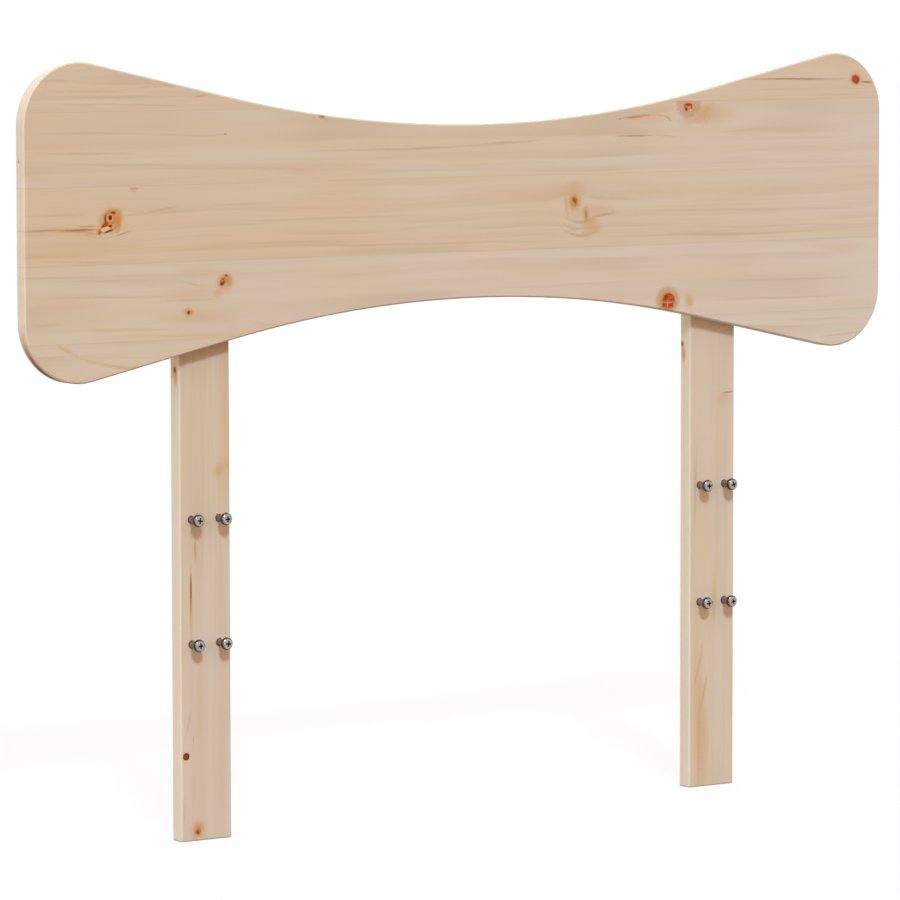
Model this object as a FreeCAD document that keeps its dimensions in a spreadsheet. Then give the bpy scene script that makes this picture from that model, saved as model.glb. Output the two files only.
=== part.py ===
import FreeCAD, Part
import math
import os
import Sketcher
from FreeCAD import Placement, Rotation, Vector

# Pine headboard
#
# A panel glued up from staves is screwed to the front of two legs. Each leg holds four
# bolts that stand out of its front, where the end of a bed hangs on them.
#
# X runs to the viewer's right, Y away from the viewer and Z up. The origin is on the floor,
# midway between the legs, in the plane where the panel's back meets the legs' fronts.
# Left and right are the viewer's. Lengths are in millimetres and angles in degrees.

SIZES = {
    # Panel. The drop is from the legs' tops down to its middle
    "panel_width": 1080,
    "panel_thickness": 16,
    "panel_end_height": 321,
    "panel_middle_drop": 100,
    "panel_corner_radius": 63.5,
    "panel_slope_angle": 12.3,
    "panel_waist_radius": 1395,
    "panel_edge_chamfer": 1.5,
    # Staves below and above the full ones, in the panel's ends
    "bottom_stave_width": 40.5,
    "top_stave_width": 49.5,
    # Legs
    "leg_width": 60,
    "leg_thickness": 18,
    "leg_length": 737,
    "leg_spacing": 645,
    "leg_edge_round": 2,
    # Bolts
    "bolt_column_spacing": 33,
    "bolt_row_spacing": 128,
    "bolt_lowest_height": 203,
    "bolt_stand_off": 13,
    "bolt_length": 30,
    "bolt_head_diameter": 13,
    "bolt_head_height": 5,
    "bolt_neck_diameter": 8,
    "bolt_neck_length": 4,
    "bolt_thread_diameter": 7.19,
    "bolt_recess_span": 6,
    "bolt_recess_slot": 1.7,
    "bolt_recess_depth": 2.5,
    # Hexagonal nuts, let into the legs' backs
    "nut_width": 13,
    "nut_thickness": 6.5,
    "nut_pocket_depth": 10.5,
    # Wood screws, driven through the legs into the panel
    "screw_head_diameter": 8,
    "screw_diameter": 4,
    "screw_length": 30,
    "screw_side_step": 13,
    "screw_recess_span": 4,
    "screw_recess_slot": 1,
    "screw_recess_depth": 1.5,
    # Clearances on the radius, and the overrun of every cut
    "bolt_hole_clearance": 0.25,
    "thread_clearance": 0.05,
    "seat_clearance": 0.1,
    "cut_overrun": 5,
}

SIDES = {"left": -1, "right": 1}
COLUMNS = {"outer": 1, "inner": -1}
ROWS = {"lower": 0, "upper": 1}

# The angle at which the screwdriver left each bolt's cross recess
BOLT_TURNS = {
    "left_lower_outer": 4,
    "left_lower_inner": -6,
    "left_upper_outer": -9,
    "left_upper_inner": 3,
    "right_lower_outer": 12,
    "right_lower_inner": 7,
    "right_upper_outer": 16,
    "right_upper_inner": -4,
}

# Heights above the floor
PANEL_MIDDLE = "Sizes.leg_length - Sizes.panel_middle_drop"
PANEL_BOTTOM = f"{PANEL_MIDDLE} - Sizes.panel_end_height / 2"
PANEL_TOP = f"{PANEL_MIDDLE} + Sizes.panel_end_height / 2"

# The full staves fill the height between the end pieces, in these proportions
STAVE_PROPORTIONS = {"lower": 78, "middle": 78, "upper": 75}
FULL_STAVES = "(Sizes.panel_end_height - Sizes.bottom_stave_width - Sizes.top_stave_width)"
GLUE_LINES = [f"{PANEL_BOTTOM} + Sizes.bottom_stave_width"]
for part in STAVE_PROPORTIONS.values():
    share = part / sum(STAVE_PROPORTIONS.values())
    GLUE_LINES.append(f"{GLUE_LINES[-1]} + {share} * {FULL_STAVES}")

# A leg's screws go into the middle of the lower and the upper stave, one on each side
SCREWS = {
    "lower": ("Sizes.screw_side_step", f"({GLUE_LINES[0]} + {GLUE_LINES[1]}) / 2"),
    "upper": ("-Sizes.screw_side_step", f"({GLUE_LINES[2]} + {GLUE_LINES[3]}) / 2"),
}

# Places closer than this are the same place
SAME_PLACE = 1e-4

doc = FreeCAD.newDocument("Headboard")


# Helpers


def make_sheet():
    """The driving dimensions, one per row, each under its own alias."""
    sheet = doc.addObject("Spreadsheet::Sheet", "Sizes")
    for row, (alias, value) in enumerate(SIZES.items(), start=1):
        sheet.set(f"A{row}", alias)
        sheet.set(f"B{row}", str(value))
        sheet.setAlias(f"B{row}", alias)
    doc.recompute()


def number(expression):
    """The present value of an expression over the sheet."""
    return float(doc.getObject("Sizes").evalExpression(expression))


def make_body(label, places=()):
    """An empty body under its label, with parts of its Placement bound to the sheet."""
    body = doc.addObject("PartDesign::Body", "Body")
    body.Label = label
    for axis, expression in places:
        body.setExpression(f"Placement.Base.{axis}", expression)
    return body


def make_sketch(body, name, role, offset="0", turn=0):
    """A sketch on one of the body's origin planes, moved along and turned about its normal."""
    sketch = body.newObject("Sketcher::SketchObject", name)
    plane = next(feature for feature in body.Origin.OriginFeatures if feature.Role == role)
    sketch.AttachmentSupport = [(plane, "")]
    sketch.MapMode = "FlatFace"
    sketch.AttachmentOffset = Placement(Vector(), Rotation(Vector(0, 0, 1), turn))
    sketch.setExpression("AttachmentOffset.Base.z", offset)
    return sketch


def bind(sketch, constraint, expression):
    """Add a constraint whose value follows the sheet."""
    index = sketch.addConstraint(constraint)
    sketch.setExpression(f"Constraints[{index}]", expression)


def pin_point(sketch, shape, point, across, up):
    """Hold a point of the sketch at two expressions, measured from the sketch's origin."""
    for kind, axis, expression in (("DistanceX", -2, across), ("DistanceY", -1, up)):
        if expression == "0":
            sketch.addConstraint(Sketcher.Constraint("PointOnObject", shape, point, axis))
        else:
            bind(sketch, Sketcher.Constraint(kind, -1, 1, shape, point, number(expression)), expression)


def draw_polygon(sketch, corners):
    """A closed loop of straight lines through corners, each a pair of expressions."""
    points = [Vector(number(across), number(up), 0) for across, up in corners]
    lines = [Part.LineSegment(start, end) for start, end in zip(points, points[1:] + points[:1])]
    shapes = sketch.addGeometry(lines, False)
    for shape, following in zip(shapes, shapes[1:] + shapes[:1]):
        sketch.addConstraint(Sketcher.Constraint("Coincident", shape, 2, following, 1))
    for shape, (across, up) in zip(shapes, corners):
        pin_point(sketch, shape, 1, across, up)


def draw_rectangle(sketch, left, right, low, high):
    """An upright rectangle between four expressions."""
    draw_polygon(sketch, [(left, low), (right, low), (right, high), (left, high)])


def draw_circle(sketch, across, up, radius):
    """A circle about a point, all given as expressions."""
    centre = Vector(number(across), number(up), 0)
    shape = sketch.addGeometry(Part.Circle(centre, Vector(0, 0, 1), number(radius)), False)
    bind(sketch, Sketcher.Constraint("Radius", shape, number(radius)), radius)
    pin_point(sketch, shape, 3, across, up)


def draw_hexagon(sketch, across, up, width):
    """A hexagon with two upright sides, width apart, about a point. All are expressions."""
    side, point = f"{width} / 2", f"{width} / sqrt(3)"
    corners = [(side, f"{point} / 2"), ("0", point), (f"-({side})", f"{point} / 2")]
    corners += [(f"-({x})", f"-({z})") for x, z in corners]
    draw_polygon(sketch, [(f"{across} + {x}", f"{up} + {z}") for x, z in corners])


def draw_cross(sketch, piece):
    """The outline of a piece's cross recess, centred on the sketch's origin."""
    long, short = (f"Sizes.{piece}_recess_{size} / 2" for size in ("span", "slot"))
    quarter = [(long, short), (short, short), (short, long)]
    corners = []
    for across_sign, up_sign, points in (
        ("", "", quarter),
        ("-", "", quarter[::-1]),
        ("-", "-", quarter),
        ("", "-", quarter[::-1]),
    ):
        corners += [(across_sign + across, up_sign + up) for across, up in points]
    draw_polygon(sketch, corners)


def pad(body, sketch, length):
    """Material added along the sketch's normal."""
    feature = body.newObject("PartDesign::Pad", "Pad")
    feature.Profile = sketch
    feature.setExpression("Length", length)
    doc.recompute()
    return feature


def pocket(body, sketch, depth, along_normal=False):
    """Material cut away against the sketch's normal, or along it. It must remove something."""
    before = body.Shape.Volume
    feature = body.newObject("PartDesign::Pocket", "Pocket")
    feature.Profile = sketch
    feature.Reversed = along_normal
    feature.setExpression("Length", depth)
    doc.recompute()
    if not body.Shape.Volume < before:
        raise RuntimeError(f"a cut in {body.Label} removes nothing")
    return feature


def revolve(body, sketch):
    """A full turn of the sketch about its upright axis."""
    feature = body.newObject("PartDesign::Revolution", "Revolution")
    feature.Profile = sketch
    feature.ReferenceAxis = (sketch, ["V_Axis"])
    feature.Angle = 360
    doc.recompute()
    return feature


def dress(body, kind, base, wanted, size_name, expression):
    """A fillet or chamfer on the edges of base that wanted accepts."""
    names = [f"Edge{i}" for i, edge in enumerate(base.Shape.Edges, start=1) if wanted(edge)]
    if not names:
        raise RuntimeError(f"no edge to dress in {body.Label}")
    feature = body.newObject(f"PartDesign::{kind}", kind)
    feature.Base = (base, names)
    feature.setExpression(size_name, expression)
    doc.recompute()
    return feature


def lies_in_plane(edge, axis, place):
    """Whether an edge lies in the plane where its coordinate along axis is place."""
    box = edge.BoundBox
    ends = getattr(box, f"{axis}Min"), getattr(box, f"{axis}Max")
    return all(abs(end - place) < SAME_PLACE for end in ends)


def face_forward(body):
    """Turn a piece modelled upright so that its local Z axis points at the viewer."""
    body.Placement = Placement(body.Placement.Base, Rotation(Vector(1, 0, 0), 90))


# Panel


def draw_outline(sketch):
    """The panel's outline about its middle: upright ends, round corners and a waist.

    The shapes run round the panel from its right end. Every slope is drawn from left to right.
    """
    radius = number("Sizes.panel_corner_radius")
    waist = number("Sizes.panel_waist_radius")
    slope = math.radians(number("Sizes.panel_slope_angle"))
    end = number("Sizes.panel_width / 2")
    centre_x = end - radius
    centre_z = number("Sizes.panel_end_height / 2") - radius
    corner = Vector(centre_x - radius * math.sin(slope), centre_z + radius * math.cos(slope), 0)
    meet_x = waist * math.sin(slope)
    meet = Vector(meet_x, corner.y - (corner.x - meet_x) * math.tan(slope), 0)
    waist_z = meet.y + waist * math.cos(slope)

    def mirrored(point, x_sign, z_sign):
        return Vector(x_sign * point.x, z_sign * point.y, 0)

    def arc(x, z, size, start, turn):
        circle = Part.Circle(Vector(x, z, 0), Vector(0, 0, 1), size)
        return Part.ArcOfCircle(circle, start, start + turn)

    right, up = 0, math.pi / 2
    left, down = math.pi, -math.pi / 2
    turn = up + slope
    sketch.addGeometry(
        [
            Part.LineSegment(Vector(end, -centre_z, 0), Vector(end, centre_z, 0)),
            arc(centre_x, centre_z, radius, right, turn),
            Part.LineSegment(meet, corner),
            arc(0, waist_z, waist, down - slope, 2 * slope),
            Part.LineSegment(mirrored(corner, -1, 1), mirrored(meet, -1, 1)),
            arc(-centre_x, centre_z, radius, up - slope, turn),
            Part.LineSegment(Vector(-end, centre_z, 0), Vector(-end, -centre_z, 0)),
            arc(-centre_x, -centre_z, radius, left, turn),
            Part.LineSegment(mirrored(corner, -1, -1), mirrored(meet, -1, -1)),
            arc(0, -waist_z, waist, up - slope, 2 * slope),
            Part.LineSegment(mirrored(meet, 1, -1), mirrored(corner, 1, -1)),
            arc(centre_x, -centre_z, radius, down - slope, turn),
        ],
        False,
    )
    right_end, left_end = 0, 6
    corners = {1: "", 5: "", 7: "-", 11: "-"}
    slopes = {2: "", 4: "-", 8: "", 10: "-"}
    upper_waist, lower_waist = 3, 9
    joints = [
        (0, 2, 1, 1),
        (1, 2, 2, 2),
        (2, 1, 3, 2),
        (3, 1, 4, 2),
        (4, 1, 5, 1),
        (5, 2, 6, 1),
        (6, 2, 7, 1),
        (7, 2, 8, 1),
        (8, 2, 9, 2),
        (9, 1, 10, 1),
        (10, 2, 11, 1),
        (11, 2, 0, 1),
    ]
    sketch.addConstraint([Sketcher.Constraint("Tangent", *joint) for joint in joints])
    for line, sign in ((right_end, ""), (left_end, "-")):
        place = f"{sign}Sizes.panel_width / 2"
        sketch.addConstraint(Sketcher.Constraint("Vertical", line))
        bind(sketch, Sketcher.Constraint("DistanceX", -1, 1, line, 1, number(place)), place)
    for line, sign in slopes.items():
        angle = f"{sign}Sizes.panel_slope_angle"
        bind(sketch, Sketcher.Constraint("Angle", line, math.radians(number(angle))), angle)
    for shape, sign in corners.items():
        place = f"{sign}(Sizes.panel_end_height / 2 - Sizes.panel_corner_radius)"
        bind(sketch, Sketcher.Constraint("DistanceY", -1, 1, shape, 3, number(place)), place)
    for first, others, size in (
        (upper_waist, [lower_waist], "Sizes.panel_waist_radius"),
        (1, [5, 7, 11], "Sizes.panel_corner_radius"),
    ):
        bind(sketch, Sketcher.Constraint("Radius", first, number(size)), size)
        sketch.addConstraint([Sketcher.Constraint("Equal", first, other) for other in others])


def make_panel_blank():
    """The panel as it leaves the router, before it is told apart into staves."""
    body = make_body("panel_blank", [("z", PANEL_MIDDLE)])
    outline = make_sketch(body, "Outline", "XZ_Plane")
    draw_outline(outline)
    board = pad(body, outline, "Sizes.panel_thickness")
    front = -number("Sizes.panel_thickness")
    dress(
        body,
        "Chamfer",
        board,
        lambda edge: lies_in_plane(edge, "Y", 0) or lies_in_plane(edge, "Y", front),
        "Size",
        "Sizes.panel_edge_chamfer",
    )
    holes = make_sketch(body, "PilotHoles", "XZ_Plane")
    for side in SIDES.values():
        for across, height in SCREWS.values():
            draw_circle(
                holes,
                f"{side} * (Sizes.leg_spacing / 2 + {across})",
                f"{height} - ({PANEL_MIDDLE})",
                "Sizes.screw_diameter / 2 + Sizes.thread_clearance",
            )
    depth = "Sizes.screw_length - Sizes.leg_thickness + Sizes.seat_clearance"
    pocket(body, holes, depth, along_normal=True)
    return body


def make_stave(blank, label, left, right, low, high):
    """The part of the panel between two glue lines, and between two ends."""
    band = doc.addObject("Part::Box", "Band")
    band.setExpression("Length", f"{right} - ({left})")
    band.setExpression("Width", "Sizes.panel_thickness + 2 * Sizes.cut_overrun")
    band.setExpression("Height", f"{high} - ({low})")
    band.setExpression("Placement.Base.x", left)
    band.setExpression("Placement.Base.y", "-Sizes.panel_thickness - Sizes.cut_overrun")
    band.setExpression("Placement.Base.z", low)
    stave = doc.addObject("Part::Common", "Stave")
    stave.Base = blank
    stave.Tool = band
    stave.Label = label
    return stave


def make_staves():
    """Three staves across the whole panel. Above and below them the waist leaves end pieces."""
    blank = make_panel_blank()
    left = "-Sizes.panel_width / 2 - Sizes.cut_overrun"
    right = "Sizes.panel_width / 2 + Sizes.cut_overrun"
    below = f"{PANEL_BOTTOM} - Sizes.cut_overrun"
    above = f"{PANEL_TOP} + Sizes.cut_overrun"
    lowest, highest = GLUE_LINES[0], GLUE_LINES[-1]
    return [
        make_stave(blank, "bottom_left_stave", left, "0", below, lowest),
        make_stave(blank, "bottom_right_stave", "0", right, below, lowest),
        make_stave(blank, "lower_stave", left, right, GLUE_LINES[0], GLUE_LINES[1]),
        make_stave(blank, "middle_stave", left, right, GLUE_LINES[1], GLUE_LINES[2]),
        make_stave(blank, "upper_stave", left, right, GLUE_LINES[2], GLUE_LINES[3]),
        make_stave(blank, "top_left_stave", left, "0", highest, above),
        make_stave(blank, "top_right_stave", "0", right, highest, above),
    ]


# Legs


def bolt_places():
    """The across and height expressions of a leg's four bolts, by row and column name."""
    places = {}
    for row, row_count in ROWS.items():
        for column, step in COLUMNS.items():
            across = f"{step} * Sizes.bolt_column_spacing / 2"
            height = f"Sizes.bolt_lowest_height + {row_count} * Sizes.bolt_row_spacing"
            places[f"{row}_{column}"] = (across, height)
    return places


def bore_leg(body, side, name, radius, places):
    """Round holes right through a leg."""
    holes = make_sketch(body, name, "XZ_Plane")
    for across, height in places:
        draw_circle(holes, f"{side} * ({across})", height, radius)
    return pocket(body, holes, "Sizes.leg_thickness + Sizes.cut_overrun")


def cut_nut_pockets(body, side):
    """Hexagonal pockets in the leg's back, which keep the nuts from turning."""
    pockets = make_sketch(body, "NutPockets", "XZ_Plane", "-Sizes.leg_thickness")
    for across, height in bolt_places().values():
        width = "(Sizes.nut_width + 2 * Sizes.seat_clearance)"
        draw_hexagon(pockets, f"{side} * ({across})", height, width)
    pocket(body, pockets, "Sizes.nut_pocket_depth", along_normal=True)


def make_leg(label, side):
    """A board with eased edges, bored for its bolts and screws and cut out for its nuts."""
    body = make_body(label, [("x", f"{side} * Sizes.leg_spacing / 2")])
    section = make_sketch(body, "Section", "XY_Plane")
    draw_rectangle(section, "-Sizes.leg_width / 2", "Sizes.leg_width / 2", "0", "Sizes.leg_thickness")
    board = pad(body, section, "Sizes.leg_length")
    dress(
        body,
        "Fillet",
        board,
        lambda edge: edge.BoundBox.ZLength > number("Sizes.leg_length / 2"),
        "Radius",
        "Sizes.leg_edge_round",
    )
    bolt_hole = "Sizes.bolt_neck_diameter / 2 + Sizes.bolt_hole_clearance"
    bore_leg(body, side, "BoltHoles", bolt_hole, bolt_places().values())
    cut_nut_pockets(body, side)
    screw_hole = "Sizes.screw_diameter / 2 + Sizes.thread_clearance"
    drilled = bore_leg(body, side, "ScrewHoles", screw_hole, SCREWS.values())
    back = number("Sizes.leg_thickness")
    dress(
        body,
        "Chamfer",
        drilled,
        lambda edge: isinstance(edge.Curve, Part.Circle) and lies_in_plane(edge, "Y", back),
        "Size",
        "(Sizes.screw_head_diameter - Sizes.screw_diameter) / 2",
    )
    return body


# Fasteners, modelled upright and then turned to lie along Y


def make_bolt(label, side, across, height, turn):
    """A cylindrical head with a cross recess, on a neck and a threaded shank.

    The local origin is under the head. The shank is plain, at the thread's pitch diameter.
    """
    places = [
        ("x", f"{side} * (Sizes.leg_spacing / 2 + {across})"),
        ("y", "-Sizes.bolt_stand_off"),
        ("z", height),
    ]
    body = make_body(label, places)
    profile = make_sketch(body, "Profile", "XZ_Plane")
    head, neck, thread = (f"Sizes.bolt_{part}_diameter / 2" for part in ("head", "neck", "thread"))
    draw_polygon(
        profile,
        [
            ("0", "-Sizes.bolt_length"),
            (thread, "-Sizes.bolt_length"),
            (thread, "-Sizes.bolt_neck_length"),
            (neck, "-Sizes.bolt_neck_length"),
            (neck, "0"),
            (head, "0"),
            (head, "Sizes.bolt_head_height"),
            ("0", "Sizes.bolt_head_height"),
        ],
    )
    revolve(body, profile)
    cross = make_sketch(body, "Recess", "XY_Plane", "Sizes.bolt_head_height", turn)
    draw_cross(cross, "bolt")
    pocket(body, cross, "Sizes.bolt_recess_depth")
    face_forward(body)
    return body


def make_nut(label, side, across, height):
    """A hexagonal nut on the floor of its pocket.

    The local origin is in the middle of its outer face, and it reaches along local Z.
    """
    places = [
        ("x", f"{side} * (Sizes.leg_spacing / 2 + {across})"),
        ("y", "Sizes.leg_thickness - Sizes.nut_pocket_depth + Sizes.nut_thickness"),
        ("z", height),
    ]
    body = make_body(label, places)
    outline = make_sketch(body, "Outline", "XY_Plane")
    draw_hexagon(outline, "0", "0", "Sizes.nut_width")
    draw_circle(outline, "0", "0", "Sizes.bolt_thread_diameter / 2 + Sizes.thread_clearance")
    pad(body, outline, "Sizes.nut_thickness")
    face_forward(body)
    return body


def make_screw(label, side, across, height):
    """A countersunk wood screw with a cross recess, its head flush with the leg's back.

    The local origin is on the head's flat face, and the shank lies along local Z.
    """
    places = [
        ("x", f"{side} * (Sizes.leg_spacing / 2 + {across})"),
        ("y", "Sizes.leg_thickness"),
        ("z", height),
    ]
    body = make_body(label, places)
    profile = make_sketch(body, "Profile", "XZ_Plane")
    head, shank = "Sizes.screw_head_diameter / 2", "Sizes.screw_diameter / 2"
    draw_polygon(
        profile,
        [
            ("0", "0"),
            (head, "0"),
            (shank, f"{head} - {shank}"),
            (shank, "Sizes.screw_length"),
            ("0", "Sizes.screw_length"),
        ],
    )
    revolve(body, profile)
    cross = make_sketch(body, "Recess", "XY_Plane")
    draw_cross(cross, "screw")
    pocket(body, cross, "Sizes.screw_recess_depth", along_normal=True)
    face_forward(body)
    return body


def make_group(label, pieces):
    """Like fasteners under one label. Each stays a solid of its own."""
    group = doc.addObject("Part::Compound", "Group")
    group.Links = pieces
    group.Label = label
    return group


# Assembly


def make_side(name, side):
    """A leg with its bolts, its nuts and its screws."""
    bolts, nuts, screws = [], [], []
    for place, (across, height) in bolt_places().items():
        turn = BOLT_TURNS[f"{name}_{place}"]
        bolts.append(make_bolt(f"{name}_bolt_{place}", side, across, height, turn))
        nuts.append(make_nut(f"{name}_nut_{place}", side, across, height))
    for place, (across, height) in SCREWS.items():
        screws.append(make_screw(f"{name}_screw_{place}", side, across, height))
    groups = [make_group(f"{name}_nuts", nuts), make_group(f"{name}_wood_screws", screws)]
    return [make_leg(f"{name}_leg", side)] + bolts + groups


def check(nodes):
    """Stop if anything failed to build, or if a piece isn't one sound solid."""
    for item in doc.Objects:
        if {"Invalid", "Error"} & set(item.State):
            raise RuntimeError(f"{item.Label} failed: {item.State}")
    for node in nodes:
        for piece in getattr(node, "Links", [node]):
            shape = piece.Shape
            if shape.isNull() or not shape.isValid() or len(shape.Solids) != 1:
                raise RuntimeError(f"{piece.Label} isn't one valid solid")


make_sheet()
nodes = make_staves()
for name, side in SIDES.items():
    nodes += make_side(name, side)
doc.recompute()
check(nodes)

os.makedirs("parts", exist_ok=True)
for node in nodes:
    node.Shape.exportStep(f"parts/{node.Label}.step")
print(len(nodes), "nodes written")
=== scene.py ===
# %% [markdown]
# # A pine headboard on two legs
#
# The headboard is a waisted panel glued up from seven staves. Two flat legs carry it, and four
# bolts stand out of each leg to take the end of a bed. Every board here is a plain, well-made
# solid already, so the boards keep their own shapes and get a finish each. The fasteners get new
# shapes, because their round edges, recesses and threads are what tells them from plain pins.

import math

import bpy
from mathutils import Matrix, Vector


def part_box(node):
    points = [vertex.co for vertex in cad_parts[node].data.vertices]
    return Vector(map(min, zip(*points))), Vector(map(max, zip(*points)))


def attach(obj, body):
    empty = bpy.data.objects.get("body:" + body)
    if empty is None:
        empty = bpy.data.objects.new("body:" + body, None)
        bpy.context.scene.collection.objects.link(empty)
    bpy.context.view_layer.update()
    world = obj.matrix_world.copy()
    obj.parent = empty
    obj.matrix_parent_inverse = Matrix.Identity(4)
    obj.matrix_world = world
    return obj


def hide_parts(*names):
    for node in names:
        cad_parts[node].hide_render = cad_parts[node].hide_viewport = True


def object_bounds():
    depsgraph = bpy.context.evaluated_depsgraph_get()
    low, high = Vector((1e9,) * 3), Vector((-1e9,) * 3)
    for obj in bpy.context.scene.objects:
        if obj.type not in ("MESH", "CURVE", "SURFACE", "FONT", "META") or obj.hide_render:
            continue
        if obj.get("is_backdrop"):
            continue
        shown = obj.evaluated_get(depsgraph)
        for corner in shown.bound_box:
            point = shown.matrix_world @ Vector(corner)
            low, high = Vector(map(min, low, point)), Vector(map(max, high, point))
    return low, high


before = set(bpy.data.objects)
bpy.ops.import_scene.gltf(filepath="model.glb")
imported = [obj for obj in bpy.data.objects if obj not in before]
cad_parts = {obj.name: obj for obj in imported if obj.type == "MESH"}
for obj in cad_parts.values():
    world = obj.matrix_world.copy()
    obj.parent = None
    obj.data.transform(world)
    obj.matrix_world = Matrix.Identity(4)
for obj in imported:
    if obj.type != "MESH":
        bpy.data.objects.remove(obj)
solid_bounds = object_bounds()
MM = 0.001
X, Y, Z = 0, 1, 2


def span(node, axis):
    """Where a solid starts and ends along an axis, in millimetres."""
    return [round(corner[axis] / MM, 3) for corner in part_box(node)]


print(len(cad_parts), "solids, from", solid_bounds[0], "to", solid_bounds[1])

# %% [markdown]
# ## The camera
#
# The object is seen from its left and a little above, through a long lens, so that its upright
# edges stay almost parallel. A camera can be aimed with a tracking constraint, but an angle for
# the turn, one for the tilt and one for the roll say the same thing and stay put.

# %% Place the camera
TURN, TILT, ROLL = math.radians(33.9707), math.radians(-5.1591), math.radians(-0.0778)
CAMERA_PLACE = Vector((-3.11158, -4.58688, 0.88527))
SENSOR_WIDTH, FOCAL_LENGTH = 36, 211.355
FARTHEST_SEEN = 50
lens = bpy.data.cameras.new("studio_camera")
lens.sensor_width = SENSOR_WIDTH
lens.lens = FOCAL_LENGTH
lens.clip_end = FARTHEST_SEEN
camera = bpy.data.objects.new("studio_camera", lens)
bpy.context.scene.collection.objects.link(camera)
aim = Matrix.Rotation(-TURN, 4, "Z") @ Matrix.Rotation(math.pi / 2 + TILT, 4, "X")
aim = aim @ Matrix.Rotation(ROLL, 4, "Z")
camera.matrix_world = Matrix.Translation(CAMERA_PLACE) @ aim
bpy.context.scene.camera = camera
bpy.context.scene.view_settings.view_transform = "Standard"
print("camera", round(CAMERA_PLACE.length, 2), "m from the feet")

# %% [markdown]
# ## Sums in a shader
#
# A pattern such as growth rings is a formula over the place on the board. In the node editor each
# sum is a Math node. The small class below wraps a socket and gives it Python's signs, so a
# formula can be written as one, and every sign adds its node. `Tree.node` makes any other node. A
# Mix node has sockets for every kind of data, so the ones for colours are picked by number.

# %% Wrap sockets and trees
MIX_SHARE, MIX_UNDER, MIX_OVER, MIX_RESULT = 0, 6, 7, 2


class Sock:
    """An output socket that can be used in a formula."""

    def __init__(self, tree, socket):
        self.tree, self.socket = tree, socket

    def math(self, operation, *others):
        """A Math node fed by this socket and the others."""
        values = dict(enumerate((self, *others)))
        return self.tree.node("ShaderNodeMath", {"operation": operation}, values)

    def __add__(self, other):
        return self.math("ADD", other)

    def __sub__(self, other):
        return self.math("SUBTRACT", other)

    def __rsub__(self, other):
        return self.tree.node("ShaderNodeMath", {"operation": "SUBTRACT"}, {0: other, 1: self})

    def __mul__(self, other):
        return self.math("MULTIPLY", other)

    __radd__, __rmul__ = __add__, __mul__

    def __truediv__(self, other):
        return self.math("DIVIDE", other)

    def root(self):
        return self.math("SQRT")

    def fraction(self):
        return self.math("FRACT")

    def between(self, low, high, start=0.0, end=1.0):
        """start below low, end above high, and a smooth ramp from one to the other."""
        settings = {"interpolation_type": "SMOOTHSTEP", "clamp": True}
        values = {"Value": self, 1: low, 2: high, 3: start, 4: end}
        return self.tree.node("ShaderNodeMapRange", settings, values)


class Tree:
    """A node tree, and the one way in which nodes are added to it."""

    def __init__(self, nodes_of):
        self.tree = nodes_of

    def node(self, kind, settings=None, values=None, out=0):
        """Add a node, set its options, feed its sockets and give back one of its outputs."""
        made = self.tree.nodes.new(kind)
        for name, value in (settings or {}).items():
            setattr(made, name, value)
        for name, value in (values or {}).items():
            if isinstance(value, Sock):
                self.tree.links.new(value.socket, made.inputs[name])
            else:
                made.inputs[name].default_value = value
        return None if out is None else Sock(self, made.outputs[out])

    def mix(self, share, under, over):
        """One colour laid over another, as strongly as the share says."""
        settings = {"data_type": "RGBA", "blend_type": "MIX"}
        values = {MIX_SHARE: share, MIX_UNDER: under, MIX_OVER: over}
        return self.node("ShaderNodeMix", settings, values, MIX_RESULT)

    def noise(self, vector, scale, detail=2.0, roughness=0.5, seed=0.0):
        """Soft noise about 0.5. Its fourth dimension is the seed."""
        values = {"Vector": vector, "W": seed, "Scale": scale}
        values |= {"Detail": detail, "Roughness": roughness}
        return self.node("ShaderNodeTexNoise", {"noise_dimensions": "4D"}, values)

    def vector(self, x, y, z):
        """Three numbers as one vector."""
        return self.node("ShaderNodeCombineXYZ", None, {0: x, 1: y, 2: z})

    def split(self, vector):
        """A vector's three numbers."""
        parts = self.node("ShaderNodeSeparateXYZ", None, {0: vector}).socket.node.outputs
        return [Sock(self, part) for part in parts]

    def show(self, shade):
        """Send a shader to the tree's output."""
        in_world = "Background" in self.tree.nodes
        kind = "ShaderNodeOutputWorld" if in_world else "ShaderNodeOutputMaterial"
        self.node(kind, None, {"Surface": shade}, None)


def colour(red, green, blue):
    """A screen colour, 0 to 255, as the linear one that a socket holds."""
    channels = [value / 255 for value in (red, green, blue)]
    linear = [c / 12.92 if c <= 0.04045 else ((c + 0.055) / 1.055) ** 2.4 for c in channels]
    return (*linear, 1.0)


def new_material(name):
    """An empty material with its shader, and the tree to build in."""
    material = bpy.data.materials.new(name)
    material.use_nodes = True
    shader = material.node_tree.nodes["Principled BSDF"]
    return material, Tree(material.node_tree), shader


def feed(tree, sock, shader, socket):
    """Link a formula to one of the shader's sockets."""
    tree.tree.links.new(sock.socket, shader.inputs[socket])


print("formula", colour(210, 184, 159))

# %% [markdown]
# ## The studio
#
# The headboard stands on a white sweep under even light. Suns light it evenly from end to end,
# where lamps near it would fade along the panel. The main sun stands high at the front left and
# draws the shadows under the panel and the bolts. A broad one at the left lights the boards' left
# edges, one overhead their top edges, and one behind them their backs. The suns are a little cool
# and the light that comes back from the room and the floor is warm, so that sunlit pine keeps its
# own colour and its shadows turn brown, as they do between boards. What the camera sees of the
# floor glows, so that it reads as white and still shows a faint shadow.

# %% Set up the lamps and the backdrop
WHITE = (1, 1, 1, 1)
ROOM_TINT, ROOM_STRENGTH = (1.0, 0.76, 0.55, 1), 0.65


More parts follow.
